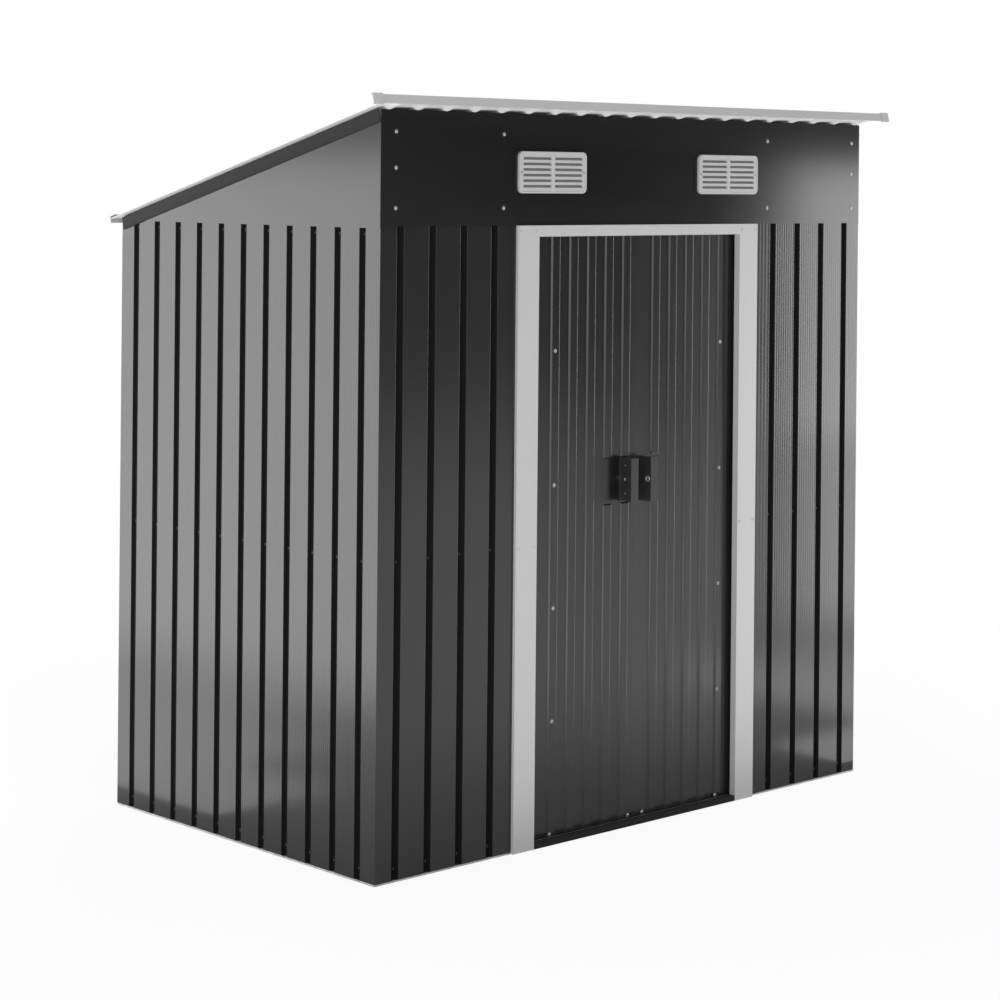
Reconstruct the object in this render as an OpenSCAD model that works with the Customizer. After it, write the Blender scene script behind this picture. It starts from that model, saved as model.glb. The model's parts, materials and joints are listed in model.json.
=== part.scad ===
// Lean-to metal storage shed with two sliding doors.
// X runs along the front, the front faces -Y and Z is up.
// The origin is on the ground, under the middle of the roof.

/* [Shell] */
// Width of the walls, outside
shell_w = 1725; // [1500:5:2400]
// Depth of the walls, outside
shell_d = 1020; // [800:5:1600]
// Height of the front wall, up to the roof sheet
front_h = 1774; // [1700:1:2100]
// Height of the eave at the back, up to the roof sheet
eave_h = 1505; // [1400:1:1690]
// Thickness of the rolled sheet
sheet_t = 1; // [0.6:0.1:1.5]
// Depth of the grooves rolled into walls and roof
groove_d = 7; // [4:0.5:7.5]
// Width of a groove at the face of the sheet
groove_mouth = 22; // [16:1:28]
// Width of a groove at its floor
groove_floor = 10; // [6:1:14]

/* [Wall panels] */
// Distance between grooves on the side and back walls
wall_pitch = 89.4; // [80:0.2:100]
// Distance between grooves on the front panels
front_pitch = 98.8; // [90:0.2:105]
// First front groove, from the corner
front_first = 61; // [40:1:80]

/* [Doorway] */
// Clear width between the door posts
doorway_w = 729; // [700:1:800]
// Clear height under the door header
doorway_h = 1479; // [1350:1:1480]
// Width of a door post
post_w = 70; // [50:1:90]
// How far the door frame stands proud of the wall
frame_proud = 8; // [4:1:12]
// Height of the joint between lower and upper posts
post_joint_z = 738; // [600:1:900]
// Height of the sill lip
sill_h = 14; // [12:1:30]

/* [Doors] */
// Height of the door sheets
door_h = 1478; // [1300:1:1479]
// Distance between ribs on the door sheets
rib_pitch = 62.3; // [55:0.1:64]
// How far the ribs stand out
rib_d = 4; // [2:0.5:5]
// Height of a door handle
handle_h = 112; // [80:1:160]
// Height of the middle of the handles
handle_z = 866; // [700:1:1000]
// How far the handles stand out from the doors
handle_reach = 36; // [25:1:45]
// Diameter of the padlock hole
lock_hole_d = 12; // [8:1:16]

/* [Roof] */
// Distance between roof grooves
roof_pitch = 88.5; // [80:0.5:100]
// Overhang of the roof sheets past the side walls
side_over = 21; // [15:1:40]
// Overhang of the roof in front, trim included
front_over = 51; // [40:1:90]
// Overhang of the roof at the back, trim included
back_over = 27; // [20:1:60]
// How far the front trim runs past the side walls
trim_over = 66; // [55:1:90]
// Height of the front trim
trim_h = 21; // [18:1:30]

/* [Vents] */
// Width of a vent
vent_w = 228; // [224:1:260]
// Height of a vent
vent_h = 101; // [80:1:120]
// Distance of each vent from the middle
vent_x = 319; // [200:1:500]
// Height of the middle of the vents
vent_z = 1634; // [1600:1:1680]

/* [Hidden] */
$fn = 32;

wall_colour = "#4b4b4d";
door_colour = "#3c3c3e";
frame_colour = "#c6c6c6";
roof_colour = "#dedede";
trim_colour = "#a9a9a9";
rail_colour = "#b9bbbd";
dark_colour = "#2a2a2c";

// roof plane, measured along the underside of the grooves
slope = atan((front_h - eave_h) / shell_d);
fall = tan(slope);
sheet_deep = groove_d + sheet_t;
trim_t = 1.5;
trim_low = 1;
trim_high = trim_h - trim_low;
trim_deep = 26;
trim_hem = 4;
cap_t = 2;
cap_len = 29;
cap_deep = 4;
back_trim_h = 18;
back_trim_w = 20;
rake_low = 27.5;
rake_high = 4;
rake_lip = 3;
rake_inset = 8;

// reach of the roof past the walls fixes where the front wall stands
front_face = (trim_low * sin(slope) - front_over) / cos(slope);
front_reach = front_over + cap_t * (cos(slope) + sin(slope));
back_top = 14;
back_face = (shell_d + back_over - back_top * sin(slope)) / cos(slope);
wall_y = (front_reach - back_over - shell_d) / 2;

half_w = shell_w / 2;
rail_t = 1.5;
rail_foot = 4;
rail_deep = 46;
rail_leg = 31;
angle_w = 30;
mid_rail_z = 720;
mid_rail_h = 30;
mid_rail_deep = 20;
beam_h = 40;
beam_w = 26;

fascia_t = 1.2;
fascia_base = doorway_h + 27;
gable_base = eave_h - 3;
panel_lap = 14;
edge_flat = 30;
post_in = doorway_w / 2;
post_out = post_in + post_w;
reveal = 10;
frame_t = 1.5;

// doors run behind the front wall
door_y = wall_y + 17;
door_base = 11;
door_deep = 20;
door_out = post_in + 20;
door_gap = 2.5;
rib_top = 24;
rib_foot = 31;
rib_margin = 2;
door_ribs = 5;
left_rib = -32;
right_rib = 76;
stile_w = 36;
stile_x = 284;
meet_stile_w = 40;
track_lip_front = wall_y + 10.5;
track_lip_back = wall_y + 43;
top_track_z = doorway_h + 6;
top_track_h = 42;
hanger_w = 50;
hanger_h = 26;
hanger_t = 3;
handle_in = 22.5;
handle_plate = 28;
handle_grip = 26;
handle_t = 2;
lock_in = 12;
flat_h = handle_h + 2;

vent_t = 6;
vent_r = 13;
slot_rows = 6;
slot_h = 6.5;
slot_w = 94;
slot_pitch = 13.4;
slot_x = 53;

// sheet with rolled grooves: outer face on the X axis, grooves run into +Y
module sheet_outline(w, centres) {
    outer = [for (c = centres) each [[c - groove_mouth / 2, 0], [c - groove_floor / 2, groove_d],
        [c + groove_floor / 2, groove_d], [c + groove_mouth / 2, 0]]];
    last = len(outer) - 1;
    inner = [for (i = [last:-1:0]) outer[i] + [0, sheet_t]];
    polygon(concat([[0, 0]], outer, [[w, 0], [w, sheet_t]], inner, [[0, sheet_t]]));
}

function spread(first, pitch, n) = [for (i = [0:n - 1]) first + i * pitch];

// grooves of half a wall or roof w wide, spread from the middle of the shed out to its edge
function spread_half(w, pitch) =
    let (n = floor((w - edge_flat) / pitch + 0.5)) spread(w - (n - 0.5) * pitch, pitch, n);

// moves children from the roof plane to their place: Y down the slope, Z off the roof
module on_roof() {
    translate([0, wall_y, front_h])
        rotate([-slope, 0, 0])
            children();
}

module bar(x0, x1, y0, y1, z0, z1) {
    translate([x0, y0, z0])
        cube([x1 - x0, y1 - y0, z1 - z0]);
}

module side_rail() {
    y0 = wall_y + rail_deep;
    y1 = wall_y + shell_d - rail_deep;
    color(rail_colour) {
        bar(-half_w, rail_deep - half_w, y0, y1, 0, rail_foot);
        bar(sheet_deep - half_w, sheet_deep + rail_t - half_w, y0, y1, 0, rail_foot + rail_leg);
    }
}

module base_rail_left() {
    side_rail();
}

module base_rail_right() {
    mirror([1, 0, 0])
        side_rail();
}

module base_rail_front() {
    y = wall_y + sheet_deep;
    color(rail_colour) {
        bar(-half_w, half_w, wall_y, wall_y + rail_deep, 0, rail_foot);
        for (s = [0, 1])
            mirror([s, 0, 0])
                bar(sheet_deep - half_w, -door_out, y, y + rail_t, 0, sill_h);
    }
}

module base_rail_back() {
    y = wall_y + shell_d - sheet_deep;
    x = half_w - sheet_deep;
    color(rail_colour) {
        bar(-half_w, half_w, wall_y + shell_d - rail_deep, wall_y + shell_d, 0, rail_foot);
        bar(-x, x, y - rail_t, y, 0, rail_foot + rail_leg);
    }
}

module door_sill() {
    color(dark_colour) {
        bar(-post_in, post_in, wall_y - frame_proud, wall_y - frame_proud + frame_t, 0, sill_h);
        bar(-post_in, post_in, wall_y - frame_proud, track_lip_front, sill_h - frame_t, sill_h);
    }
}

module bottom_track() {
    x = half_w - sheet_deep - rail_t;
    color(rail_colour) {
        bar(-x, x, track_lip_front, track_lip_back + rail_t, rail_foot, rail_foot + rail_t);
        bar(-x, x, track_lip_front, track_lip_front + rail_t, rail_foot, sill_h);
        bar(-x, x, track_lip_back, track_lip_back + rail_t, rail_foot, sill_h);
    }
}

module top_track() {
    x = half_w - angle_w;
    top = top_track_z + top_track_h;
    color(rail_colour) {
        bar(-x, x, track_lip_front, track_lip_back + rail_t, top - rail_t, top);
        bar(-x, x, track_lip_front, track_lip_front + rail_t, top_track_z, top);
        bar(-x, x, track_lip_back, track_lip_back + rail_t, top_track_z, top);
    }
}

// angle in a corner of the shell, between the wall sheets and clear of their rails
module corner_post(z0, z1) {
    color(rail_colour)
        translate([0, 0, z0])
            linear_extrude(z1 - z0)
                polygon([[0, 0], [angle_w, 0], [angle_w, rail_t], [rail_t, rail_t],
                    [rail_t, angle_w], [0, angle_w]]);
}

module front_corner_post() {
    translate([sheet_t - half_w, wall_y + sheet_t, 0])
        corner_post(rail_foot + rail_leg, front_h - fall * (sheet_t + angle_w));
}

module back_corner_post() {
    translate([sheet_t - half_w, wall_y + shell_d - sheet_t, 0])
        mirror([0, 1, 0])
            corner_post(rail_foot + rail_leg, eave_h);
}

module corner_post_front_left() {
    front_corner_post();
}

module corner_post_front_right() {
    mirror([1, 0, 0])
        front_corner_post();
}

module corner_post_back_left() {
    back_corner_post();
}

module corner_post_back_right() {
    mirror([1, 0, 0])
        back_corner_post();
}

module front_panel() {
    n = floor((half_w - post_out - edge_flat - front_first) / front_pitch) + 1;
    color(wall_colour)
        translate([-half_w, wall_y, rail_foot])
            linear_extrude(fascia_base + panel_lap - rail_foot)
                sheet_outline(half_w - door_out, spread(front_first, front_pitch, n));
}

module front_wall_left() {
    front_panel();
}

module front_wall_right() {
    mirror([1, 0, 0])
        front_panel();
}

module side_wall() {
    w = shell_d - 2 * sheet_t;
    n = floor((w - 2 * edge_flat) / wall_pitch) + 1;
    first = (w - (n - 1) * wall_pitch) / 2;
    color(wall_colour)
        translate([-half_w, wall_y + sheet_t, rail_foot])
            rotate([0, 0, 90])
                mirror([0, 1, 0])
                    linear_extrude(eave_h - rail_foot)
                        sheet_outline(w, spread(first, wall_pitch, n));
}

module left_wall() {
    side_wall();
}

module right_wall() {
    mirror([1, 0, 0])
        side_wall();
}

module back_wall_half() {
    color(wall_colour)
        translate([-half_w, wall_y + shell_d, rail_foot])
            mirror([0, 1, 0])
                linear_extrude(eave_h - rail_foot)
                    sheet_outline(half_w, spread_half(half_w, wall_pitch));
}

module back_wall_left() {
    back_wall_half();
}

module back_wall_right() {
    mirror([1, 0, 0])
        back_wall_half();
}

module front_fascia() {
    color(wall_colour)
        difference() {
            bar(-half_w, half_w, wall_y - fascia_t, wall_y, fascia_base, front_h);
            for (x = [-vent_x - slot_x, slot_x - vent_x, vent_x - slot_x, vent_x + slot_x])
                translate([x, wall_y, vent_z])
                    cube([slot_w, 4 * fascia_t, slot_rows * slot_pitch], center = true);
        }
}

module gable() {
    color(wall_colour)
        translate([-half_w, wall_y, 0])
            rotate([90, 0, -90])
                linear_extrude(fascia_t)
                    polygon([[0, front_h], [-shell_d, eave_h], [-shell_d, gable_base], [0, gable_base]]);
}

module gable_left() {
    gable();
}

module gable_right() {
    mirror([1, 0, 0])
        gable();
}

// folded post: face, outer side down to the wall, inner side past the wall sheet
module door_post(z0, z1, side_z0) {
    y = wall_y - frame_proud;
    color(frame_colour) {
        bar(-post_out, -post_in, y, y + frame_t, z0, z1);
        bar(-post_out, frame_t - post_out, y, wall_y, z0, z1);
        bar(-post_in - frame_t, -post_in, y, wall_y + reveal, side_z0, z1);
    }
}

module door_post_left_lower() {
    door_post(0, post_joint_z, rail_foot);
}

module door_post_left_upper() {
    door_post(post_joint_z, fascia_base, post_joint_z);
    color(frame_colour)
        bar(-post_out, -post_in, wall_y - frame_proud, wall_y, fascia_base - frame_t, fascia_base);
}

module door_post_right_lower() {
    mirror([1, 0, 0])
        door_post_left_lower();
}

module door_post_right_upper() {
    mirror([1, 0, 0])
        door_post_left_upper();
}

module door_header() {
    y = wall_y - frame_proud;
    color(frame_colour) {
        bar(-post_in, post_in, y, y + frame_t, doorway_h, fascia_base);
        bar(-post_in, post_in, y, wall_y + reveal, doorway_h, doorway_h + frame_t);
        bar(-post_in, post_in, y, wall_y, fascia_base - frame_t, fascia_base);
    }
}

module rounded_plate(w, h, r, t) {
    linear_extrude(t)
        union() {
            square([w - 2 * r, h], center = true);
            square([w, h - 2 * r], center = true);
            for (sx = [-1, 1], sy = [-1, 1])
                translate([sx * (w / 2 - r), sy * (h / 2 - r)])
                    circle(r);
        }
}

module vent(x) {
    color(frame_colour)
        translate([x, wall_y - fascia_t, vent_z])
            rotate([90, 0, 0])
                difference() {
                    rounded_plate(vent_w, vent_h, vent_r, vent_t);
                    for (sx = [-1, 1], i = [0:slot_rows - 1])
                        translate([sx * slot_x, (i - (slot_rows - 1) / 2) * slot_pitch, vent_t / 2])
                            cube([slot_w, slot_h, 2 * vent_t], center = true);
                }
}

module vent_left() {
    vent(-vent_x);
}

module vent_right() {
    vent(vent_x);
}

module side_mid_rail() {
    x = sheet_deep - half_w;
    y0 = wall_y + angle_w + 2;
    y1 = wall_y + shell_d - angle_w - 2;
    color(rail_colour) {
        bar(x, x + rail_t, y0, y1, mid_rail_z, mid_rail_z + mid_rail_h);
        bar(x, x + mid_rail_deep, y0, y1, mid_rail_z, mid_rail_z + rail_t);
    }
}

module mid_rail_left() {
    side_mid_rail();
}

module mid_rail_right() {
    mirror([1, 0, 0])
        side_mid_rail();
}

module mid_rail_back() {
    x = half_w - angle_w - 2;
    y = wall_y + shell_d - sheet_deep;
    color(rail_colour) {
        bar(-x, x, y - rail_t, y, mid_rail_z, mid_rail_z + mid_rail_h);
        bar(-x, x, y - mid_rail_deep, y, mid_rail_z, mid_rail_z + rail_t);
    }
}

module roof_beam() {
    y = shell_d / cos(slope) / 2;
    color(rail_colour)
        on_roof() {
            bar(-half_w, half_w, y, y + rail_t, -beam_h, 0);
            bar(-half_w, half_w, y, y + beam_w, -rail_t, 0);
            bar(-half_w, half_w, y, y + beam_w, -beam_h, rail_t - beam_h);
        }
}

module roof_half() {
    w = half_w + side_over;
    y0 = front_face + trim_t;
    y1 = back_face - trim_t;
    color(roof_colour)
        on_roof()
            translate([-w, y0, sheet_deep])
                rotate([-90, 0, 0])
                    linear_extrude(y1 - y0)
                        sheet_outline(w, spread_half(w, roof_pitch));
}

module roof_sheet_left() {
    roof_half();
}

module roof_sheet_right() {
    mirror([1, 0, 0])
        roof_half();
}

// upright strip hemmed along its top, with a flange that lies on the roof sheets
module roof_front_trim() {
    x = half_w + trim_over;
    sheet_x = half_w + side_over;
    color(trim_colour)
        on_roof() {
            bar(-x, x, front_face, front_face + trim_t, -trim_low, trim_high);
            bar(-x, x, front_face, front_face + trim_hem, trim_high - trim_t, trim_high);
            bar(-sheet_x, sheet_x, front_face, front_face + trim_deep, sheet_deep, sheet_deep + trim_t);
        }
}

// clip over an end of the front trim
module trim_cap_left() {
    x = half_w + trim_over;
    color(trim_colour)
        on_roof()
            difference() {
                bar(-x, cap_len - x, front_face - cap_t, front_face + cap_deep,
                    -trim_low - cap_t, trim_high + cap_t);
                bar(-x - cap_t, cap_len + cap_t - x, front_face, front_face + cap_deep + cap_t,
                    -trim_low, trim_high);
            }
}

module trim_cap_right() {
    mirror([1, 0, 0])
        trim_cap_left();
}

module roof_back_trim() {
    x = half_w + side_over;
    low = back_top - back_trim_h;
    color(trim_colour)
        on_roof() {
            bar(-x, x, back_face - trim_t, back_face, low, back_top);
            bar(-x, x, back_face - back_trim_w, back_face, back_top - trim_t, back_top);
        }
}

// strip flat on the gable under the edge of the roof, with a small lip turned out below
module rake_trim_left() {
    x = -half_w - fascia_t;
    y1 = shell_d / cos(slope) - trim_t;
    color(dark_colour)
        on_roof() {
            bar(x - trim_t, x, rake_inset, y1, -rake_low, rake_high);
            bar(x - rake_lip, x, rake_inset, y1, -rake_low, trim_t - rake_low);
        }
}

module rake_trim_right() {
    mirror([1, 0, 0])
        rake_trim_left();
}

// raised rib of a door sheet, standing out towards -Y
module rib(z0, z1) {
    translate([0, door_y + rib_d, z0])
        linear_extrude(z1 - z0)
            polygon([[-rib_foot / 2, 0], [-rib_top / 2, -rib_d], [rib_top / 2, -rib_d], [rib_foot / 2, 0]]);
}

// ribbed door sheet; the ribs nearest the handle stop above and below it
module door_sheet(x0, x1, first_rib, step, flat_ribs) {
    z1 = door_base + door_h;
    color(door_colour)
        union() {
            bar(x0, x1, door_y + rib_d, door_y + rib_d + sheet_t, door_base, z1);
            for (i = [0:door_ribs - 1])
                translate([first_rib + i * step, 0, 0]) {
                    rib(door_base + rib_margin, i < flat_ribs ? handle_z - flat_h / 2 : z1);
                    if (i < flat_ribs)
                        rib(handle_z + flat_h / 2, z1);
                }
        }
}

module left_door_panel() {
    door_sheet(-door_out, -door_gap, left_rib, -rib_pitch, 2);
}

module right_door_panel() {
    door_sheet(door_gap, door_out, right_rib, rib_pitch, 1);
}

// frame behind a door sheet, with the tabs that hang it in the top track
module door_back_frame() {
    y0 = door_y + rib_d + sheet_t;
    y1 = door_y + door_deep;
    z1 = door_base + door_h;
    color(dark_colour) {
        bar(-stile_x - stile_w, -stile_x, y0, y1, door_base, z1);
        bar(-door_gap - meet_stile_w, -door_gap, y0, y1, door_base, z1);
        bar(-door_out, -door_gap, y0, y1, door_base, door_base + stile_w);
        bar(-door_out, -door_gap, y0, y1, z1 - stile_w, z1);
        for (x = [-door_out, -door_gap - hanger_w])
            bar(x, x + hanger_w, y0 + hanger_t, y0 + 2 * hanger_t, z1 - stile_w, z1 + hanger_h);
    }
}

module left_door_frame() {
    door_back_frame();
}

module right_door_frame() {
    mirror([1, 0, 0])
        door_back_frame();
}

// folded handle: plate on the door, grip in front, and a web with a padlock hole near the grip
module handle() {
    y1 = door_y + rib_d;
    y0 = door_y - handle_reach;
    z0 = handle_z - handle_h / 2;
    color(dark_colour)
        difference() {
            union() {
                bar(-handle_in - handle_plate, -handle_in, y1 - handle_t, y1, z0, z0 + handle_h);
                bar(-handle_in - handle_t, -handle_in, y0, y1, z0, z0 + handle_h);
                bar(-handle_in - handle_grip, -handle_in, y0, y0 + handle_t, z0, z0 + handle_h);
            }
            translate([-handle_in, y0 + lock_in, handle_z])
                rotate([0, 90, 0])
                    cylinder(h = 6 * handle_t, d = lock_hole_d, center = true);
        }
}

module left_door_handle() {
    handle();
}

module right_door_handle() {
    mirror([1, 0, 0])
        handle();
}

base_rail_front();
base_rail_back();
base_rail_left();
base_rail_right();
door_sill();
bottom_track();
top_track();
corner_post_front_left();
corner_post_front_right();
corner_post_back_left();
corner_post_back_right();
front_wall_left();
front_wall_right();
left_wall();
right_wall();
back_wall_left();
back_wall_right();
front_fascia();
gable_left();
gable_right();
door_post_left_lower();
door_post_left_upper();
door_post_right_lower();
door_post_right_upper();
door_header();
vent_left();
vent_right();
mid_rail_left();
mid_rail_right();
mid_rail_back();
roof_beam();
roof_sheet_left();
roof_sheet_right();
roof_front_trim();
trim_cap_left();
trim_cap_right();
roof_back_trim();
rake_trim_left();
rake_trim_right();
left_door_panel();
left_door_frame();
left_door_handle();
right_door_panel();
right_door_frame();
right_door_handle();
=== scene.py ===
"""Looks of a lean-to metal storage shed with two sliding doors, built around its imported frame."""
import json
import math

import bmesh
import bpy
from mathutils import Matrix, Vector

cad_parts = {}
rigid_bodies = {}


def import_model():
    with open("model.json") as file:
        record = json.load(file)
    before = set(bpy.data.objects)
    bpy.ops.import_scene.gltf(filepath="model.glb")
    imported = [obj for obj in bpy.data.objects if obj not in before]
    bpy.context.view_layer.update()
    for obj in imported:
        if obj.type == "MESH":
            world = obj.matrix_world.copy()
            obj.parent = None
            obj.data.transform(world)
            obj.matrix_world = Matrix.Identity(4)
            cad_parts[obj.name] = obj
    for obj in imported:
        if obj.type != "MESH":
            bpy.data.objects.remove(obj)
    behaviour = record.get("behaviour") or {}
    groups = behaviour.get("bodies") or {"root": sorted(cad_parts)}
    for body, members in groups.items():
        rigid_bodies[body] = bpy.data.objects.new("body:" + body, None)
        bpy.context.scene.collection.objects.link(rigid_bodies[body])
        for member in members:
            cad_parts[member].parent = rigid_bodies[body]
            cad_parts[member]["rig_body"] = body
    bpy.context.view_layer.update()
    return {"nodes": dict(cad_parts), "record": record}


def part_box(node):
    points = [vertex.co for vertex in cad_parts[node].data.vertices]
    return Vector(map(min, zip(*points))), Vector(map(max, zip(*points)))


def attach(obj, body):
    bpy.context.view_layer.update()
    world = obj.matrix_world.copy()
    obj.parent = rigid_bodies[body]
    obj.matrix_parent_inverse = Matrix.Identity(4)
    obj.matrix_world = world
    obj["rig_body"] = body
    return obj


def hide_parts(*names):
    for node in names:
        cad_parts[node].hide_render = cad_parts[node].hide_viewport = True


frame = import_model()
NODES = frame["nodes"]
MM = 0.001

# ---------------------------------------------------------------- measures, from the frame
SHEET = 1.0 * MM
GROOVE_DEPTH = 7 * MM
GROOVE_MOUTH = 22 * MM
GROOVE_FLOOR = 10 * MM
BEND = 2.0 * MM
WALL_PITCH = 89.4 * MM
FRONT_PITCH = 98.8 * MM
FRONT_FIRST = 61 * MM
ROOF_PITCH = 88.5 * MM
FINE_RIBS = 8
FINE_DEPTH = 0.16 * MM

RIB_PITCH = 62.3 * MM
RIB_TOP = 24 * MM
RIB_FOOT = 31 * MM
RIB_DEPTH = 4 * MM
RIB_RAMP = 2.5 * MM
RIB_BEND = 2.0 * MM
RIB_CLEAR = 1 * MM
MEETING = 0.2 * MM
LEFT_RIB = -32 * MM
RIGHT_RIB = 76 * MM
DOOR_RIBS = 5
RIB_STEPS = 5            # stations along the ramp at a rib's end
BEYOND = 1.0             # a rib that runs off its sheet ends this far past it
EDGE_FLAT = 30 * MM      # least flat strip beside the last groove of a sheet
GROOVE_SHADE = 0.3 * MM  # depth at which a groove takes the dark paint
LOCK_IN = 12 * MM        # padlock hole, behind the front of the handle
EYELET_HOLE = 5.3 * MM
EYELET_HALF = 1.9 * MM
EYELET_FLANGE = (2.2 * MM, 3.2 * MM)

WALL_LOW, WALL_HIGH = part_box("left_wall")
FASCIA_LOW, FASCIA_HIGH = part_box("front_fascia")
HALF_W = -WALL_LOW.x
WALL_Y = FASCIA_HIGH.y
BACK_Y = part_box("back_wall_left")[1].y
FRONT_H = FASCIA_HIGH.z
EAVE_H = WALL_HIGH.z
SLOPE = math.atan((FRONT_H - EAVE_H) / (BACK_Y - WALL_Y))
ROOF = Matrix.Translation((0, WALL_Y, FRONT_H)) @ Matrix.Rotation(-SLOPE, 4, "X")


def roof_box(node):
    """Lowest and highest corner of a CAD node, measured along the roof."""
    turned = [ROOF.inverted() @ v.co for v in NODES[node].data.vertices]
    return (Vector([min(p[i] for p in turned) for i in range(3)]),
            Vector([max(p[i] for p in turned) for i in range(3)]))


# ---------------------------------------------------------------- camera, floor and light
CAMERA_AT = (-4.6037, -4.8690, 1.6148)
CAMERA_YAW = math.radians(43.256)
CAMERA_ROLL = math.radians(0.531)
LENS = 90.78
SHIFT_Y = -0.32
WORLD_LIGHT = 0.42
FLOOR_HALF = 40
FLOOR_DROP = 0.5 * MM    # keeps the floor off the rails that stand on it


def make_camera():
    data = bpy.data.cameras.new("camera")
    data.lens = LENS
    data.sensor_width = 36
    data.shift_y = SHIFT_Y
    camera = bpy.data.objects.new("camera", data)
    bpy.context.scene.collection.objects.link(camera)
    camera.matrix_world = (Matrix.Translation(CAMERA_AT)
                           @ Matrix.Rotation(-CAMERA_YAW, 4, "Z")
                           @ Matrix.Rotation(math.pi / 2, 4, "X")
                           @ Matrix.Rotation(CAMERA_ROLL, 4, "Z"))
    bpy.context.scene.camera = camera


def panel(name, centre, aim, width, height, radiance, sheen=True):
    """A softbox: an area lamp of that size and brightness, turned towards aim.
    Glossy paint mirrors it if sheen is on."""
    data = bpy.data.lights.new(name, "AREA")
    data.shape = "RECTANGLE"
    data.size, data.size_y = width, height
    data.energy = radiance * math.pi * width * height
    lamp = bpy.data.objects.new(name, data)
    bpy.context.scene.collection.objects.link(lamp)
    lamp.location = centre
    lamp.rotation_euler = (Vector(aim) - Vector(centre)).to_track_quat("-Z", "Y").to_euler()
    lamp.visible_camera = False
    lamp.visible_glossy = sheen


def add(tree, kind, settings=None, **inputs):
    """A node of that kind. An input is a value, or the output of another node."""
    node = tree.nodes.new(kind)
    for key, value in (settings or {}).items():
        setattr(node, key, value)
    for key, value in inputs.items():
        socket = node.inputs[int(key[1:])] if key[0] == "_" else node.inputs[key.replace("_", " ")]
        if isinstance(value, bpy.types.NodeSocket):
            tree.links.new(value, socket)
        else:
            socket.default_value = value
    return node


def seen_directly(tree):
    """1 for camera, glossy and transmission rays, 0 for the rays that light the scene."""
    path = add(tree, "ShaderNodeLightPath")
    first = add(tree, "ShaderNodeMath", {"operation": "MAXIMUM"},
                _0=path.outputs["Is Camera Ray"], _1=path.outputs["Is Glossy Ray"])
    both = add(tree, "ShaderNodeMath", {"operation": "MAXIMUM"},
               _0=first.outputs[0], _1=path.outputs["Is Transmission Ray"])
    return both.outputs[0]


def make_world(level):
    world = bpy.data.worlds.new("studio")
    bpy.context.scene.world = world
    world.use_nodes = True
    tree = world.node_tree
    tree.nodes.clear()
    light = add(tree, "ShaderNodeBackground", Color=(1, 1, 1, 1), Strength=level)
    white = add(tree, "ShaderNodeBackground", Color=(1, 1, 1, 1), Strength=1.0)
    mix = add(tree, "ShaderNodeMixShader",
              _0=seen_directly(tree), _1=light.outputs[0], _2=white.outputs[0])
    add(tree, "ShaderNodeOutputWorld", Surface=mix.outputs[0])


def outside(tree, place):
    """0 on the ground inside the shed, which lies in its shadow, and 1 around it."""
    middle = (WALL_LOW + WALL_HIGH) / 2
    from_middle = add(tree, "ShaderNodeVectorMath", {"operation": "SUBTRACT"},
                      _0=place, _1=(0, middle.y, 0))
    span = (HALF_W, (WALL_HIGH.y - WALL_LOW.y) / 2, 1)
    shares = add(tree, "ShaderNodeVectorMath", {"operation": "DIVIDE"},
                 _0=from_middle.outputs[0], _1=span)
    plain = add(tree, "ShaderNodeVectorMath", {"operation": "ABSOLUTE"}, _0=shares.outputs[0])
    axes = add(tree, "ShaderNodeSeparateXYZ", _0=plain.outputs[0])
    furthest = add(tree, "ShaderNodeMath", {"operation": "MAXIMUM"},
                   _0=axes.outputs[0], _1=axes.outputs[1])
    past = add(tree, "ShaderNodeMath", {"operation": "GREATER_THAN"},
               _0=furthest.outputs[0], _1=1.0)
    return past.outputs[0]


def make_floor(size, drop):
    """Pale matt floor. It whitens away from the shed, sooner in the sheen of the paint
    than to the eye."""
    mesh = bpy.data.meshes.new("floor")
    mesh.from_pydata([(-size, -size, -drop), (size, -size, -drop),
                      (size, size, -drop), (-size, size, -drop)], [], [(0, 1, 2, 3)])
    floor = bpy.data.objects.new("floor", mesh)
    bpy.context.scene.collection.objects.link(floor)
    material = bpy.data.materials.new("floor_white")
    material.use_nodes = True
    tree = material.node_tree
    tree.nodes.clear()
    matt = add(tree, "ShaderNodeBsdfDiffuse", Color=(0.82, 0.82, 0.82, 1))
    bright = add(tree, "ShaderNodeEmission", Color=(1, 1, 1, 1), Strength=1.0)
    place = add(tree, "ShaderNodeTexCoord").outputs["Object"]
    away = add(tree, "ShaderNodeVectorMath", {"operation": "LENGTH"}, _0=place).outputs["Value"]
    to_eye = add(tree, "ShaderNodeMapRange", _0=away, _1=1.2, _2=3.2, _3=0.92, _4=1.0)
    to_sheen = add(tree, "ShaderNodeMapRange", _0=away, _1=0.95, _2=1.9, _3=0.0, _4=1.0)
    path = add(tree, "ShaderNodeLightPath")
    part = add(tree, "ShaderNodeMix", _0=path.outputs["Is Glossy Ray"],
               _2=to_eye.outputs[0], _3=to_sheen.outputs[0])
    share = add(tree, "ShaderNodeMath", {"operation": "MULTIPLY"},
                _0=seen_directly(tree), _1=part.outputs[0])
    share = add(tree, "ShaderNodeMath", {"operation": "MULTIPLY"},
                _0=share.outputs[0], _1=outside(tree, place))
    mix = add(tree, "ShaderNodeMixShader",
              _0=share.outputs[0], _1=matt.outputs[0], _2=bright.outputs[0])
    add(tree, "ShaderNodeOutputMaterial", Surface=mix.outputs[0])
    mesh.materials.append(material)


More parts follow.
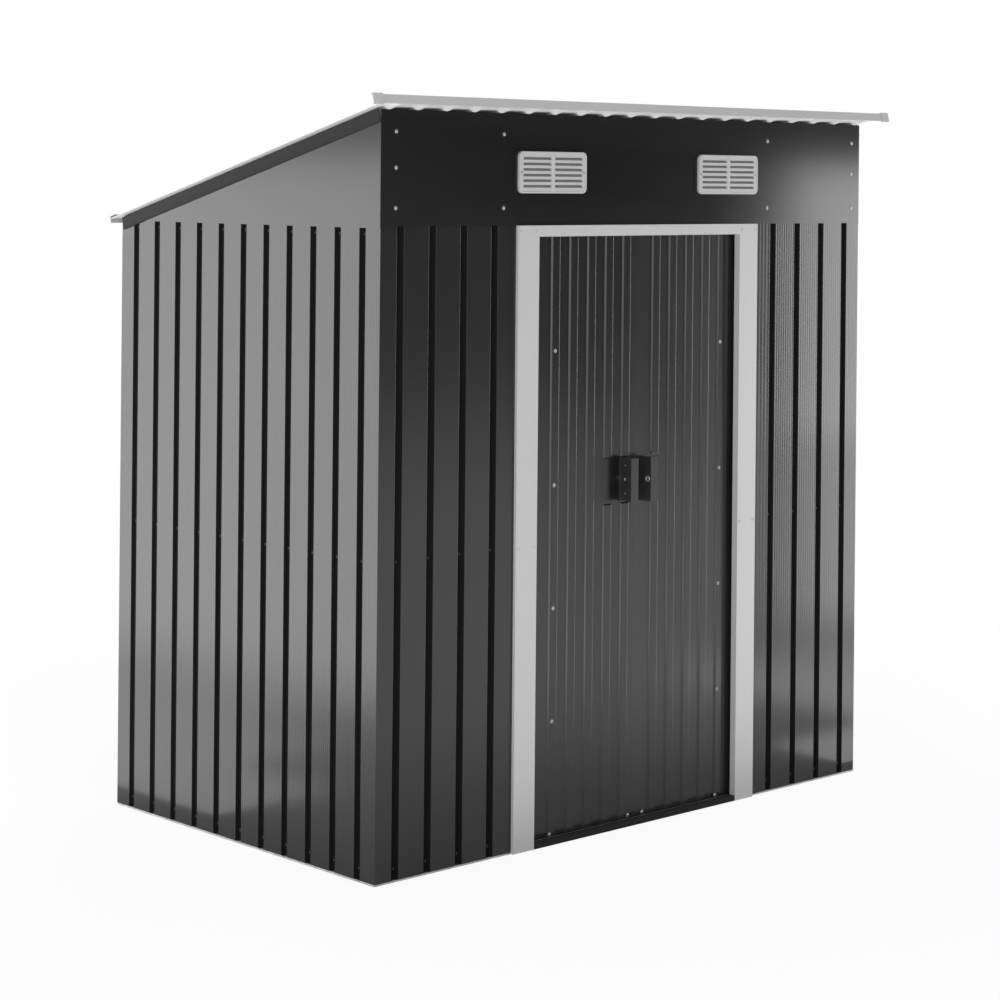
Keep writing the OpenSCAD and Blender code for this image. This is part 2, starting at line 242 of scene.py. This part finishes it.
def flag(name, centre, aim, width, height):
    """A dark board that shows in the sheen of the paint only. It takes no light away."""
    mesh = bpy.data.meshes.new(name)
    w, h = width / 2, height / 2
    mesh.from_pydata([(-w, -h, 0), (w, -h, 0), (w, h, 0), (-w, h, 0)], [], [(0, 1, 2, 3)])
    board = bpy.data.objects.new(name, mesh)
    bpy.context.scene.collection.objects.link(board)
    board.location = centre
    board.rotation_euler = (Vector(aim) - Vector(centre)).to_track_quat("Z", "Y").to_euler()
    material = bpy.data.materials.new(name)
    material.use_nodes = True
    tree = material.node_tree
    tree.nodes.clear()
    dark = add(tree, "ShaderNodeEmission", Color=(1, 1, 1, 1), Strength=0.02)
    add(tree, "ShaderNodeOutputMaterial", Surface=dark.outputs[0])
    mesh.materials.append(material)
    board.visible_camera = False
    board.visible_diffuse = False
    board.visible_transmission = False
    board.visible_shadow = False


# ---------------------------------------------------------------- materials
def material(name):
    made = bpy.data.materials.new(name)
    made.use_nodes = True
    made.node_tree.nodes.clear()
    return made, made.node_tree


def paint(name, colour, roughness, specular=0.5, mottle=0.06, peel=0.04, ripple=0.0, wear=0.0):
    """Baked enamel on steel: faint clouding, orange peel, slow waves in the sheet and
    lighter worn edges."""
    made, tree = material(name)
    where = add(tree, "ShaderNodeTexCoord").outputs["Object"]
    cloud = add(tree, "ShaderNodeTexNoise", Vector=where, Scale=5.0, Detail=3.0)
    speck = add(tree, "ShaderNodeTexNoise", Vector=where, Scale=420.0, Detail=2.0)
    low = tuple(c * (1 - mottle) for c in colour) + (1,)
    high = tuple(c * (1 + mottle) for c in colour) + (1,)
    tone = add(tree, "ShaderNodeMix", {"data_type": "RGBA"},
               _0=cloud.outputs["Fac"], _6=low, _7=high)
    grain = add(tree, "ShaderNodeMix", {"data_type": "RGBA", "blend_type": "MULTIPLY"}, _0=0.12,
                _6=tone.outputs[2], _7=speck.outputs["Color"])
    base = grain.outputs[2]
    if wear:
        edge = add(tree, "ShaderNodeNewGeometry")
        worn = add(tree, "ShaderNodeMapRange",
                   _0=edge.outputs["Pointiness"], _1=0.53, _2=0.62, _4=wear)
        pale = tuple(min(1, c * 2.2 + 0.05) for c in colour) + (1,)
        base = add(tree, "ShaderNodeMix", {"data_type": "RGBA"},
                   _0=worn.outputs[0], _6=base, _7=pale).outputs[2]
    rough = add(tree, "ShaderNodeMapRange",
                _0=cloud.outputs["Fac"], _3=roughness * 0.88, _4=roughness * 1.12)
    fine = add(tree, "ShaderNodeBump",
               Strength=peel, Distance=0.4 * MM, Height=speck.outputs["Fac"])
    normal = fine.outputs[0]
    if ripple:
        wave = add(tree, "ShaderNodeTexNoise", Vector=where, Scale=3.2, Detail=0.0)
        normal = add(tree, "ShaderNodeBump", Strength=ripple, Distance=4 * MM,
                     Height=wave.outputs["Fac"], Normal=normal).outputs[0]
    shader = add(tree, "ShaderNodeBsdfPrincipled",
                 Base_Color=base, Roughness=rough.outputs[0], Normal=normal)
    shader.inputs["Specular IOR Level"].default_value = specular
    add(tree, "ShaderNodeOutputMaterial", Surface=shader.outputs[0])
    return made


def galvanised(name):
    """Zinc-coated steel, with its spangle of pale and dull crystals."""
    made, tree = material(name)
    where = add(tree, "ShaderNodeTexCoord").outputs["Object"]
    crystal = add(tree, "ShaderNodeTexVoronoi", Vector=where, Scale=95.0, Randomness=1.0)
    bend = add(tree, "ShaderNodeTexNoise", Vector=where, Scale=30.0, Detail=3.0)
    tone = add(tree, "ShaderNodeSeparateColor", Color=crystal.outputs["Color"])
    base = add(tree, "ShaderNodeMix", {"data_type": "RGBA"}, _0=tone.outputs[0],
               _6=(0.50, 0.51, 0.52, 1), _7=(0.66, 0.67, 0.68, 1))
    rough = add(tree, "ShaderNodeMapRange", _0=tone.outputs[1], _3=0.30, _4=0.48)
    bump = add(tree, "ShaderNodeBump", Strength=0.08, Distance=0.4 * MM, Height=bend.outputs["Fac"])
    shader = add(tree, "ShaderNodeBsdfPrincipled", Base_Color=base.outputs[2],
                 Roughness=rough.outputs[0], Normal=bump.outputs[0], Metallic=0.85)
    add(tree, "ShaderNodeOutputMaterial", Surface=shader.outputs[0])
    return made


def plated(name):
    """Zinc-plated screw heads, lightly scratched."""
    made, tree = material(name)
    where = add(tree, "ShaderNodeTexCoord").outputs["Object"]
    scratch = add(tree, "ShaderNodeTexNoise", Vector=where, Scale=900.0, Detail=3.0)
    base = add(tree, "ShaderNodeMix", {"data_type": "RGBA"}, _0=scratch.outputs["Fac"],
               _6=(0.30, 0.30, 0.30, 1), _7=(0.44, 0.44, 0.44, 1))
    rough = add(tree, "ShaderNodeMapRange", _0=scratch.outputs["Fac"], _3=0.38, _4=0.55)
    bump = add(tree, "ShaderNodeBump",
               Strength=0.1, Distance=0.1 * MM, Height=scratch.outputs["Fac"])
    shader = add(tree, "ShaderNodeBsdfPrincipled", Base_Color=base.outputs[2],
                 Roughness=rough.outputs[0], Normal=bump.outputs[0], Metallic=0.9)
    add(tree, "ShaderNodeOutputMaterial", Surface=shader.outputs[0])
    return made


def grey(value):
    """A neutral colour, from 0 to 255 as it looks on screen."""
    v = value / 255
    linear = v / 12.92 if v <= 0.04045 else ((v + 0.055) / 1.055) ** 2.4
    return (linear,) * 3


WALL_PAINT = paint("wall_paint", grey(27), 0.19, ripple=0.05, wear=0.15)
# painted shade: the grooves get a darker, duller coat that stands in for the shade inside them and
# hides their highlights
GROOVE_SHADE_PAINT = paint("groove_painted_shade", grey(14), 0.75, specular=0.08)
DOOR_PAINT = paint("door_paint", grey(24), 0.21, specular=0.6, ripple=0.02, wear=0.15)
SILL_PAINT = paint("sill_paint", grey(34), 0.7, specular=0.15)
# the rake strip is a real trim, but its dark matt colour is painted shadow: the shade that the roof
# edge casts on the gable top
RAKE_SHADE_PAINT = paint("rake_strip_painted_shade", grey(58), 0.8, specular=0.1)
HANDLE_PAINT = paint("handle_paint", grey(24), 0.22, wear=0.3)
FRAME_PAINT = paint("frame_paint", grey(184), 0.45, mottle=0.02, ripple=0.02)
ROOF_PAINT = paint("roof_paint", grey(224), 0.42, mottle=0.03, ripple=0.03)
TRIM_PAINT = paint("trim_paint", grey(182), 0.42, mottle=0.03)
VENT_PLASTIC = paint("vent_plastic", grey(182), 0.5, mottle=0.02, peel=0.08)
# the vent plastic darkened: on the louvres it is painted shade for the slots, on the end pins it is
# the colour of the dark seam ticks
SHADE_AND_SEAM_PLASTIC = paint("vent_plastic_shade_and_seam", grey(128), 0.6, mottle=0.02, peel=0.08)
ZINC = galvanised("galvanised_steel")
SCREW_ZINC = plated("screw_zinc")
SCREW_PAINT = paint("screw_paint", grey(26), 0.5)
SLOT_MATERIAL = {
    "wall_sheet": WALL_PAINT, "door_sheet": DOOR_PAINT, "frame_metal": FRAME_PAINT,
    "roof_sheet": ROOF_PAINT, "trim": TRIM_PAINT, "galvanised": ZINC,
    "vent_plastic": VENT_PLASTIC, "handle_metal": HANDLE_PAINT, "rake_strip": RAKE_SHADE_PAINT,
}
OWN_MATERIAL = {"door_sill": SILL_PAINT}  # a node that differs from its slot


# ---------------------------------------------------------------- mesh making
def finish_mesh(name, verts, faces, materials, dark=(), sharp=32):
    """A piece from vertices and faces, smooth but for edges sharper than that many degrees."""
    mesh = bpy.data.meshes.new(name)
    mesh.from_pydata([tuple(v) for v in verts], [], faces)
    for m in materials:
        mesh.materials.append(m)
    # faces listed in dark take the second material, the painted shade of the grooves
    for i in dark:
        mesh.polygons[i].material_index = 1
    bm = bmesh.new()
    bm.from_mesh(mesh)
    bmesh.ops.recalc_face_normals(bm, faces=bm.faces)
    bm.to_mesh(mesh)
    bm.free()
    mesh.polygons.foreach_set("use_smooth", [True] * len(mesh.polygons))
    mesh.set_sharp_from_angle(angle=math.radians(sharp))
    piece = bpy.data.objects.new(name, mesh)
    bpy.context.scene.collection.objects.link(piece)
    return piece


def fillet(points, radius, steps=3):
    """The open path with each of its corners turned into a curve."""
    path = [Vector(points[0])]
    for a, b, c in zip(points, points[1:], points[2:]):
        a, b, c = Vector(a), Vector(b), Vector(c)
        back, on = (a - b).normalized(), (c - b).normalized()
        half = back.angle(on) / 2
        if half > math.radians(89):
            path.append(b)
            continue
        reach = min(radius / math.tan(half), 0.45 * min((a - b).length, (c - b).length))
        start, end = b + back * reach, b + on * reach
        for i in range(steps + 1):
            t = i / steps
            path.append((1 - t) ** 2 * start + 2 * t * (1 - t) * b + t * t * end)
    path.append(Vector(points[-1]))
    return path


def offset(path, t):
    """The path moved sideways by t, to its left."""
    moved = []
    for i, p in enumerate(path):
        along = (path[min(i + 1, len(path) - 1)] - path[max(i - 1, 0)]).normalized()
        moved.append(p + Vector((-along.y, along.x)) * t)
    return moved


def sweep(name, path, place, stations, materials, recess=None):
    """A sheet with that section, carried along the stations.
    What lies deeper than recess takes the second material."""
    inner = offset(path, SHEET)
    n = len(path)
    row = 2 * n
    verts = [place(p.x, p.y, s) for s in stations for line in (path, inner) for p in line]
    # faces deeper than recess go in dark and take the second material, which paints the shade
    # inside the grooves
    faces, dark = [], []
    for k in range(len(stations) - 1):
        a, b = k * row, (k + 1) * row
        for i in range(n - 1):
            if recess is not None and path[i].y + path[i + 1].y > 2 * recess:
                dark.append(len(faces))
            faces.append((a + i, a + i + 1, b + i + 1, b + i))
            faces.append((a + n + i, a + n + i + 1, b + n + i + 1, b + n + i))
        faces.append((a, b, b + n, a + n))
        faces.append((a + n - 1, b + n - 1, b + row - 1, a + row - 1))
    for a in (0, (len(stations) - 1) * row):
        for i in range(n - 1):
            faces.append((a + i, a + i + 1, a + n + i + 1, a + n + i))
    return finish_mesh(name, verts, faces, materials, dark)


def rolled_section(width, grooves, fine_ribs):
    """Section of a rolled sheet: flat bands with fine ribs between rounded grooves.
    Depth is the second coordinate."""
    mouths = [e for g in grooves for e in (g - GROOVE_MOUTH / 2, g + GROOVE_MOUTH / 2)]
    edges = [0.0] + mouths + [width]
    path = []
    for i, (start, end) in enumerate(zip(edges[::2], edges[1::2])):
        steps = fine_ribs * 4 if fine_ribs and end - start > GROOVE_MOUTH else 1
        left = start + (BEND if i else 0)
        right = end - (BEND if i < len(grooves) else 0)
        for k in range(steps + 1):
            u = left + (right - left) * k / steps
            path.append(Vector((u, FINE_DEPTH * (1 - math.cos(2 * math.pi * k / 4)) / 2)))
        if i < len(grooves):
            g = grooves[i]
            bend = fillet([(end - BEND, 0), (end, 0), (g - GROOVE_FLOOR / 2, GROOVE_DEPTH),
                           (g + GROOVE_FLOOR / 2, GROOVE_DEPTH), (g + GROOVE_MOUTH / 2, 0),
                           (g + GROOVE_MOUTH / 2 + BEND, 0)], BEND)
            path += bend[1:-1]
    clean = [path[0]]
    for p in path[1:]:
        if (p - clean[-1]).length > 0.02 * MM:
            clean.append(p)
    return clean


def replace(piece, node):
    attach(piece, NODES[node]["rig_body"])
    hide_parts(node)


# ---------------------------------------------------------------- walls and roof
def walls():
    # the second skin is the painted shade on the groove floors and flanks
    skins = [WALL_PAINT, GROOVE_SHADE_PAINT]
    recess = GROOVE_SHADE
    depth = WALL_HIGH.y - WALL_LOW.y
    count = int((depth - 2 * EDGE_FLAT) / WALL_PITCH) + 1
    first = (depth - (count - 1) * WALL_PITCH) / 2
    side = rolled_section(depth, [first + i * WALL_PITCH for i in range(count)], FINE_RIBS)
    for node, sign in (("left_wall", -1), ("right_wall", 1)):
        piece = sweep(f"{node}_sheet", side,
                      lambda u, v, s: (sign * (HALF_W - v), WALL_LOW.y + u, s),
                      [WALL_LOW.z, WALL_HIGH.z], skins, recess)
        replace(piece, node)

    count = int((HALF_W - EDGE_FLAT) / WALL_PITCH + 0.5)
    back = rolled_section(HALF_W, [HALF_W - (count - 0.5 - i) * WALL_PITCH for i in range(count)],
                          FINE_RIBS)
    for node, sign in (("back_wall_left", -1), ("back_wall_right", 1)):
        piece = sweep(f"{node}_sheet", back,
                      lambda u, v, s: (sign * (HALF_W - u), BACK_Y - v, s),
                      [WALL_LOW.z, EAVE_H], skins, recess)
        replace(piece, node)

    low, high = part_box("front_wall_left")
    front = rolled_section(high.x - low.x, [FRONT_FIRST + i * FRONT_PITCH for i in range(4)],
                           FINE_RIBS)
    for node, sign in (("front_wall_left", -1), ("front_wall_right", 1)):
        piece = sweep(f"{node}_sheet", front,
                      lambda u, v, s: (sign * (HALF_W - u), WALL_Y + v, s),
                      [low.z, high.z], skins, recess)
        replace(piece, node)


def roof():
    low, high = roof_box("roof_sheet_left")
    width = -low.x
    count = int((width - EDGE_FLAT) / ROOF_PITCH + 0.5)
    section = rolled_section(width, [width - (count - 0.5 - i) * ROOF_PITCH for i in range(count)],
                             0)
    for node, sign in (("roof_sheet_left", -1), ("roof_sheet_right", 1)):
        piece = sweep(f"{node}_skin", section,
                      lambda u, v, s: ROOF @ Vector((sign * (width - u), s, high.z - v)),
                      [low.y, high.y], [ROOF_PAINT])
        replace(piece, node)


# ---------------------------------------------------------------- doors
def rib_height(z, stretches):
    """How much of a rib stands at height z: 1 along its stretches, easing to 0 at their ends."""
    best = 0.0
    for low, high in stretches:
        rise = min((z - low) / RIB_RAMP, (high - z) / RIB_RAMP)
        t = min(max(rise, 0.0), 1.0)
        best = max(best, t * t * (3 - 2 * t))
    return best


def door_sheet(side, first_rib, flat_ribs):
    node = f"{side}_door_panel"
    low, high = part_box(node)
    handle_low, handle_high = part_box(f"{side}_door_handle")
    handle_z = (handle_low.z + handle_high.z) / 2
    flat = (handle_high.z - handle_low.z) / 2 + RIB_CLEAR
    face = low.y + RIB_DEPTH
    sign = -1 if side == "left" else 1
    ribs = sorted((first_rib + sign * i * RIB_PITCH, i < flat_ribs) for i in range(DOOR_RIBS))
    foot, head = low.z - BEYOND, high.z + BEYOND
    whole = [(foot, head)]
    broken = [(foot, handle_z - flat), (handle_z + flat, head)]

    section = [(low.x if side == "left" else MEETING, 0.0, None)]
    for x, is_broken in ribs:
        rise = [(-RIB_FOOT / 2 - BEND, 0), (-RIB_FOOT / 2, 0),
                (-RIB_TOP / 2, 1), (-RIB_TOP / 2 + BEND, 1)]
        corners = [(x + u, v) for u, v in rise] + [(x - u, v) for u, v in reversed(rise)]
        scaled = [(u, v * RIB_DEPTH) for u, v in corners]
        for p in fillet(scaled, RIB_BEND):
            section.append((p.x, p.y / RIB_DEPTH, is_broken))
    section.append((-MEETING if side == "left" else high.x, 0.0, None))

    marks = {low.z, high.z}
    for start, end in whole + broken:
        for edge, step in ((start, 1), (end, -1)):
            if low.z < edge < high.z:
                marks.update(edge + step * RIB_RAMP * k / RIB_STEPS
                             for k in range(-1, RIB_STEPS + 2))
    stations = sorted(marks)

    n = len(section)
    verts = []
    for z in stations:
        tall = {True: rib_height(z, broken), False: rib_height(z, whole), None: 0.0}
        front = [(x, face - v * RIB_DEPTH * tall[kind], z) for x, v, kind in section]
        verts += front + [(x, y + SHEET, z) for x, y, z in front]
    faces = []
    row = 2 * n
    for k in range(len(stations) - 1):
        a, b = k * row, (k + 1) * row
        for i in range(n - 1):
            faces.append((a + i, a + i + 1, b + i + 1, b + i))
            faces.append((a + n + i, a + n + i + 1, b + n + i + 1, b + n + i))
        faces.append((a, b, b + n, a + n))
        faces.append((a + n - 1, b + n - 1, b + row - 1, a + row - 1))
    for a in (0, (len(stations) - 1) * row):
        for i in range(n - 1):
            faces.append((a + i, a + i + 1, a + n + i + 1, a + n + i))
    piece = finish_mesh(f"{side}_door_sheet", verts, faces, [DOOR_PAINT], sharp=50)
    replace(piece, node)


def lathe_ring(centre, axis, rings, sides):
    """Vertices and faces of a closed ring with that section, turned about an axis."""
    turn = Vector(axis).to_track_quat("Z", "Y")
    verts = [Vector(centre) + turn @ Vector((q * math.cos(a), q * math.sin(a), h))
             for a in (2 * math.pi * k / sides for k in range(sides)) for q, h in rings]
    n = len(rings)
    faces = [(k * n + i, k * n + (i + 1) % n,
              (k + 1) % sides * n + (i + 1) % n, (k + 1) % sides * n + i)
             for k in range(sides) for i in range(n)]
    return verts, faces


def eyelet(side):
    """Zinc ring pressed round the padlock hole on both faces of a handle's web."""
    low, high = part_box(f"{side}_door_handle")
    sign = -1 if side == "left" else 1
    inner = sign * min(abs(low.x), abs(high.x))
    middle = Vector((inner + sign * MM, low.y + LOCK_IN, (low.z + high.z) / 2))
    half, hole = EYELET_HALF, EYELET_HOLE
    flat, rim = (hole + wide for wide in EYELET_FLANGE)
    rings = [(hole, -half), (flat, -half), (rim, -half / 2),
             (rim, half / 2), (flat, half), (hole, half)]
    verts, faces = lathe_ring(middle, (1, 0, 0), rings, 24)
    piece = finish_mesh(f"{side}_handle_eyelet", verts, faces, [SCREW_ZINC], sharp=50)
    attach(piece, f"{side}_door")


# ---------------------------------------------------------------- vents
SLOT_ROWS = 6
SLOT_PITCH = 13.4 * MM
SLOT_W = 94 * MM
SLOT_H = 6.5 * MM
SLOT_X = 53 * MM
VENT_CORNER = 13 * MM
RIM_W = 4.5 * MM
RIM_H = 1.4 * MM


def rounded_outline(w, h, radius, steps=6):
    """Points and outward directions round a rectangle with rounded corners."""
    line = []
    for corner in range(4):
        sx, sz = ((1, 1), (-1, 1), (-1, -1), (1, -1))[corner]
        for k in range(steps + 1):
            a = math.pi / 2 * (corner + k / steps)
            out = Vector((math.cos(a), math.sin(a)))
            pivot = Vector((sx * (w / 2 - radius), sz * (h / 2 - radius)))
            line.append((pivot + out * radius, out))
    return line


def vent_rim(side):
    """Raised rim of a vent and the bar between its two banks of slots."""
    low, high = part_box(f"vent_{side}")
    centre = (low + high) / 2
    steps = [(0.0, 0.0), (0.3 * MM, RIM_H * 0.7), (1.2 * MM, RIM_H), (RIM_W - 1.2 * MM, RIM_H),
             (RIM_W, 0.0)]
    n = len(steps)
    line = rounded_outline(high.x - low.x, high.z - low.z, VENT_CORNER)
    verts = [(centre.x + p.x - out.x * inset, low.y - rise, centre.z + p.y - out.y * inset)
             for p, out in line for inset, rise in steps]
    m = len(line)
    faces = [(k * n + i, k * n + (i + 1) % n, (k + 1) % m * n + (i + 1) % n, (k + 1) % m * n + i)
             for k in range(m) for i in range(n)]
    bar = SLOT_X - SLOT_W / 2 - 1.2 * MM
    ridge = [(-bar, 0), (-bar * 0.7, RIM_H * 0.8), (0, RIM_H), (bar * 0.7, RIM_H * 0.8), (bar, 0)]
    base = len(verts)
    ends = (low.z + RIM_W / 2, high.z - RIM_W / 2)
    verts += [(centre.x + u, low.y - v, z) for z in ends for u, v in ridge]
    k = len(ridge)
    faces += [(base + i, base + (i + 1) % k, base + k + (i + 1) % k, base + k + i)
              for i in range(k)]
    faces += [tuple(base + i for i in range(k)), tuple(base + k + i for i in range(k))]
    piece = finish_mesh(f"vent_{side}_rim", verts, faces, [VENT_PLASTIC], sharp=45)
    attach(piece, "root")


def louvres(side):
    """Sloping blades that fill the slots of a vent."""
    low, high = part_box(f"vent_{side}")
    centre = (low + high) / 2
    front, thick = low.y + 2.4 * MM, 1 * MM
    verts, faces = [], []
    for sign in (-1, 1):
        for i in range(SLOT_ROWS):
            z = centre.z + (i - (SLOT_ROWS - 1) / 2) * SLOT_PITCH
            x = centre.x + sign * SLOT_X
            blade = [(front, z - SLOT_H / 2), (high.y, z + SLOT_H / 2 - thick),
                     (high.y, z + SLOT_H / 2), (front, z - SLOT_H / 2 + thick)]
            base = len(verts)
            verts += [(x + e * SLOT_W / 2, y, h) for e in (-1, 1) for y, h in blade]
            faces += [(base + k, base + (k + 1) % 4, base + 4 + (k + 1) % 4, base + 4 + k)
                      for k in range(4)]
            faces += [tuple(base + k for k in range(4)), tuple(base + 4 + k for k in range(4))]
    # the blades take the darker plastic, which paints the shade inside the slots
    piece = finish_mesh(f"vent_{side}_louvres", verts, faces, [SHADE_AND_SEAM_PLASTIC])
    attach(piece, "root")


# ---------------------------------------------------------------- screws
FRONT = (0, -1, 0)
FASCIA_SCREW_HEIGHTS = (1548, 1641, 1724)
DOOR_SCREW_HEIGHTS = (294, 570, 871, 1199)
DOOR_SCREW_X = {"left": -284 * MM, "right": 318.5 * MM}
FOOT_SCREW_Z = 19 * MM
FOOT_SCREW_X = {"left": -10 * MM, "right": 43 * MM}
GROOVE_SCREW_HEIGHTS = (30 * MM, 735 * MM, 1488 * MM)
HEAD_RINGS = ((5.6, 0.0), (5.6, 0.7), (4.4, 0.9), (4.0, 1.9), (3.0, 2.7), (1.4, 3.1))


def screws(name, spots, body="root", scale=1.0, skin=None, sides=12):
    """Domed screw heads with a flange, one at each (place, outward direction), joined in
    one piece."""
    verts, faces = [], []
    for place, outward in spots:
        turn = Vector(outward).to_track_quat("Z", "Y")
        base = len(verts)
        for radius, height in HEAD_RINGS:
            for k in range(sides):
                a = 2 * math.pi * k / sides
                p = Vector((radius * math.cos(a), radius * math.sin(a), height)) * scale * MM
                verts.append(Vector(place) + turn @ p)
        for r in range(len(HEAD_RINGS) - 1):
            for k in range(sides):
                a, b = base + r * sides + k, base + r * sides + (k + 1) % sides
                faces.append((a, b, b + sides, a + sides))
        faces.append(tuple(base + k for k in range(sides)))
        faces.append(tuple(base + (len(HEAD_RINGS) - 1) * sides + k for k in range(sides)))
    piece = finish_mesh(name, verts, faces, [skin or SCREW_ZINC], sharp=40)
    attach(piece, body)


def front_screws():
    """Zinc heads on the fascia, and painted ones on the door frame and the vents."""
    y = FASCIA_LOW.y
    heights = FASCIA_SCREW_HEIGHTS
    spots = [((-HALF_W + 44 * MM, y, z * MM), FRONT) for z in heights]
    spots += [((HALF_W - 33 * MM, y, z * MM), FRONT) for z in heights]
    spots += [((sign * (HALF_W - 384 * MM), y, z * MM), FRONT)
              for sign in (-1, 1) for z in heights[::2]]
    screws("fascia_screws", spots, scale=0.92)

    low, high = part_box("door_post_left_upper")
    middle = -(low.x + high.x) / 2
    spots = [((sign * middle + dx * MM, low.y, z), FRONT) for sign in (-1, 1)
             for z in (high.z - 16 * MM, low.z - 9 * MM) for dx in (-26, 26)]
    screws("door_frame_screws", spots, scale=0.8, skin=FRAME_PAINT)

    for side in ("left", "right"):
        low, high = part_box(f"vent_{side}")
        spots = [((x, low.y, (low.z + high.z) / 2), FRONT)
                 for x in (low.x + 9 * MM, high.x - 9 * MM)]
        # the end pins take the same darker plastic, for the dark seam ticks at the vent ends
        screws(f"vent_{side}_pins", spots, scale=0.45, skin=SHADE_AND_SEAM_PLASTIC)


def door_screws(side, column):
    """Heads up the outer rib of a door, along its foot, and on the plate of its handle."""
    low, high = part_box(f"{side}_door_panel")
    sign = -1 if side == "left" else 1
    flat = low.y + RIB_DEPTH
    spots = [((column, low.y, z * MM), FRONT) for z in DOOR_SCREW_HEIGHTS]
    spots.append(((column - 5 * MM, low.y, FOOT_SCREW_Z), FRONT))
    spots.append(((FOOT_SCREW_X[side], flat, FOOT_SCREW_Z), FRONT))
    screws(f"{side}_door_screws", spots, body=f"{side}_door", scale=0.92)

    grip_low, grip_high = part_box(f"{side}_door_handle")
    plate_x = sign * (min(abs(grip_low.x), abs(grip_high.x)) + 8 * MM)
    middle = (grip_low.z + grip_high.z) / 2
    for part, lifts, scale in (("middle", (0,), 0.9), ("end", (-35, 35), 0.45)):
        spots = [((plate_x, grip_high.y - 2 * MM, middle + dz * MM), FRONT) for dz in lifts]
        screws(f"{side}_handle_{part}_screws", spots, body=f"{side}_door", scale=scale)


def groove_screws():
    """Small painted heads on the floors of the wall grooves, at the foot, the rail inside
    and the eave. The front has none at the eave."""
    heights = GROOVE_SCREW_HEIGHTS
    depth = WALL_HIGH.y - WALL_LOW.y
    count = int((depth - 2 * EDGE_FLAT) / WALL_PITCH) + 1
    first = WALL_LOW.y + (depth - (count - 1) * WALL_PITCH) / 2
    back = int((HALF_W - EDGE_FLAT) / WALL_PITCH + 0.5)
    deep = GROOVE_DEPTH
    for side, sign in (("left", -1), ("right", 1)):
        spots = [((sign * (HALF_W - deep), first + i * WALL_PITCH, z), (sign, 0, 0))
                 for z in heights for i in range(count)]
        spots += [((sign * (HALF_W - FRONT_FIRST - i * FRONT_PITCH), WALL_Y + deep, z), FRONT)
                  for z in heights[:2] for i in range(4)]
        spots += [((sign * (back - 0.5 - i) * WALL_PITCH, BACK_Y - deep, z), (0, 1, 0))
                  for z in heights for i in range(back)]
        screws(f"{side}_groove_screws", spots, scale=0.62, skin=SCREW_PAINT, sides=10)


def roof_screws():
    """Zinc heads on the floors of every other roof groove, over the front, the beam and
    the back."""
    low, high = roof_box("roof_sheet_left")
    count = int((-low.x - EDGE_FLAT) / ROOF_PITCH + 0.5)
    up = ROOF.to_3x3() @ Vector((0, 0, 1))
    rows = (40 * MM, (low.y + high.y) / 2, high.y - 50 * MM)
    spots = [(ROOF @ Vector((sign * (count - 0.5 - i) * ROOF_PITCH, y, high.z - GROOVE_DEPTH)), up)
             for sign in (-1, 1) for i in range(0, count, 2) for y in rows]
    screws("roof_screws", spots, scale=0.8)


# ---------------------------------------------------------------- CAD parts that stay
def dress_cad():
    """Softens the edges of the CAD parts that show, and gives each its finish."""
    slots = {p["node"]: p["material_slot"] for p in frame["record"]["subparts"]}
    for node, piece in NODES.items():
        if piece.hide_render:
            continue
        piece.data.materials.clear()
        piece.data.materials.append(OWN_MATERIAL.get(node) or SLOT_MATERIAL[slots[node]])
        soft = piece.modifiers.new("soft_edges", "BEVEL")
        soft.width = 0.45 * MM
        soft.segments = 2
        soft.limit_method = "ANGLE"
        soft.angle_limit = math.radians(35)
        soft.harden_normals = True


make_camera()
make_world(WORLD_LIGHT)
make_floor(FLOOR_HALF, FLOOR_DROP)
panel("left_panel", (-2.1, 1.75, 0.86), (0, 1.75, 0.86), 2.4, 1.66, 3.1)
KICKER_FAR = 2.9
KICKER_W = 0.38
for NAME, X, NEAR in (("left_kicker_near", -1.12, 0.2),
                      ("left_kicker_middle", -1.5, 0.6),
                      ("left_kicker_far", -1.9, 1.0)):
    MIDDLE = (NEAR + KICKER_FAR) / 2
    panel(NAME, (X, MIDDLE, 0.02), (X, MIDDLE, 2.0), KICKER_W, KICKER_FAR - NEAR, 1.6)
panel("right_panel", (2.65, -1.5, 1.215), (2.4, -0.65, 1.215), 1.4, 0.93, 5.3)
panel("right_low_panel", (2.65, -1.5, 0.425), (2.4, -0.65, 0.425), 1.35, 0.65, 3.3)
panel("right_kicker_near", (1.4, -0.66, 0.02), (1.4, -0.66, 2.0), 1.1, 0.28, 2.0)
panel("right_kicker_far", (1.95, -1.22, 0.02), (1.95, -1.22, 2.0), 1.2, 0.84, 2.0)
panel("front_left_panel", (-2.5, -6.0, 2.2), (0, -0.5, 0.9), 4.0, 3.0, 1.3)
panel("rib_panel", (-5.2, -3.6, 1.4), (0, -0.5, 0.9), 2.5, 3.0, 2.3)
panel("rib_kicker", (-2.9, -2.7, 0.02), (-2.9, -2.7, 2.0), 3.2, 2.6, 1.9)
panel("return_fill", (-4.0, -1.3, 1.0), (0, -0.5, 0.9), 1.6, 2.4, 1.6, sheen=False)
panel("floor_bounce", (0, -1.9, 0.02), (0, -1.9, 2.0), 2.6, 2.4, 0.9, sheen=False)
panel("top_panel", (0, 0, 5.0), (0, 0, 0), 4, 4, 1.5)
flag("front_flag", (5.9, -9.2, 3.5), (0, -0.5, 3.5), 13.0, 8.0)

walls()
roof()
door_sheet("left", LEFT_RIB, 2)
door_sheet("right", RIGHT_RIB, 1)
for SIDE in ("left", "right"):
    eyelet(SIDE)
    vent_rim(SIDE)
    louvres(SIDE)
front_screws()
for SIDE in ("left", "right"):
    door_screws(SIDE, DOOR_SCREW_X[SIDE])
groove_screws()
roof_screws()
dress_cad()

bpy.context.scene.view_settings.view_transform = "Standard"
bpy.context.view_layer.update()
